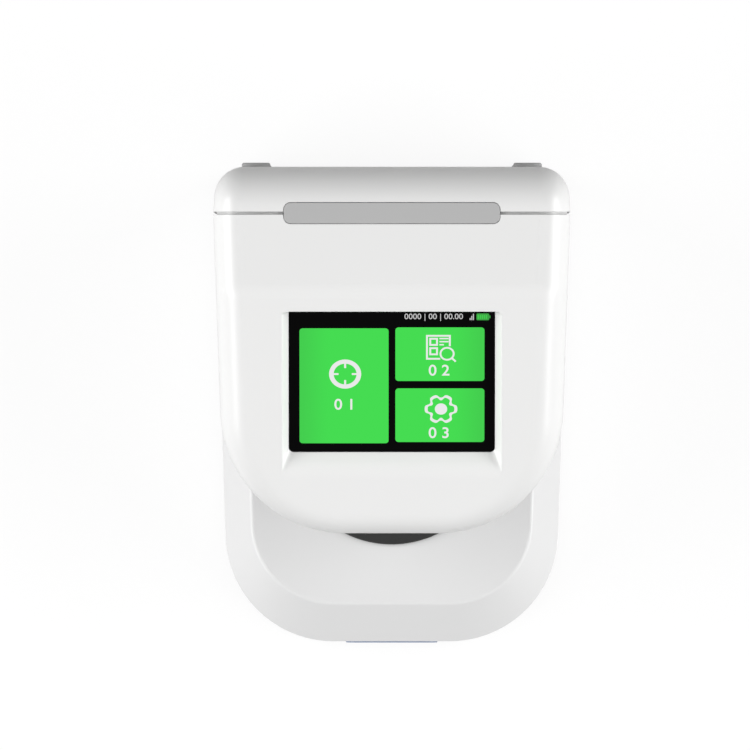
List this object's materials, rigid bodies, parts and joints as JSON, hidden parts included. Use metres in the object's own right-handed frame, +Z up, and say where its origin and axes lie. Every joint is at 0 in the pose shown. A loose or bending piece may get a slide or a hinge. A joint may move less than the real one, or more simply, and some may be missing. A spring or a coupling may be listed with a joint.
{
  "type": "haze meter",
  "caption": "Compact C-shaped optical bench instrument with an open sample gap, sloped touch screen head, stage over an integrating sphere, a measure key and a soft lift-out port cover.",
  "frame": {"origin": "on the bench, under the centre of the bounding box, in the plane of the base feet's soles", "axes": "+X to the user's right, +Y towards the rear cover, +Z up; the user stands on the -Y side"},
  "size_m": [0.1212, 0.1638, 0.1712],
  "materials": {
    "white_shell": "satin white moulded housing plastic",
    "grey_cover": "soft matt grey",
    "black_plastic": "matt black, fine grain",
    "screen_glass": "black printed touch glass, polished",
    "key_blue": "blue grey key cap, satin",
    "white_key": "white key cap, satin",
    "rubber_grey": "matt grey rubber",
    "steel": "zinc plated",
    "cast_aluminium": "as cast, machined seats",
    "anodised_black": "black anodised, matt",
    "barium_white": "white diffuse coating inside, moulded",
    "circuit_board": "green solder mask",
    "clear_glass": "polished, coated",
    "display_metal": "thin pressed tray",
    "cell_wrap": "heat shrink film",
    "cable_black": "matt sleeve",
    "ribbon_film": "amber film"
  },
  "bodies": {
    "housing": {"base_shell": "white_shell", "base_plate": "white_shell", "base_feet": "rubber_grey", "base_screws": "steel", "head_shell": "white_shell", "head_underside": "white_shell", "underside_screws": "steel", "rear_cover": "white_shell", "rear_screws": "steel", "rear_feet": "rubber_grey", "cover_glass": "screen_glass", "display_module": "display_metal", "display_frame": "display_metal", "display_ribbon": "ribbon_film", "port_panel": "black_plastic", "usb_socket": "steel", "dc_socket": "black_plastic", "port_board": "circuit_board", "key_board": "circuit_board", "power_board": "circuit_board", "sample_stage": "black_plastic", "port_ring": "anodised_black", "sphere_upper": "barium_white", "sphere_lower": "barium_white", "sphere_screws": "steel", "light_trap": "anodised_black", "detector": "anodised_black", "detector_board": "circuit_board", "window_ring": "anodised_black", "light_barrel": "anodised_black", "exit_window": "clear_glass", "collimator_lens": "clear_glass", "field_stop": "anodised_black", "led_board": "circuit_board", "heat_sink": "cast_aluminium", "inner_frame": "cast_aluminium", "battery_cells": "cell_wrap", "battery_holder": "black_plastic", "main_board": "circuit_board", "column_cable": "cable_black"},
    "port_cover": {"port_cover": "grey_cover"},
    "measure_key": {"measure_key": "key_blue"},
    "power_button": {"power_button": "white_key"}
  },
  "joints": [
    {"name": "port_cover_lift", "type": "slide", "parent": "housing", "child": "port_cover", "axis": [0, 0, 1], "range_m": [0, 0.008]},
    {"name": "measure_key_slide", "type": "slide", "parent": "housing", "child": "measure_key", "axis": [0, 1, 0], "range_m": [0, 0.0005], "stiffness_N_per_m": 3000},
    {"name": "power_button_slide", "type": "slide", "parent": "housing", "child": "power_button", "axis": [-1, 0, 0], "range_m": [0, 0.0008], "stiffness_N_per_m": 2000}
  ]
}
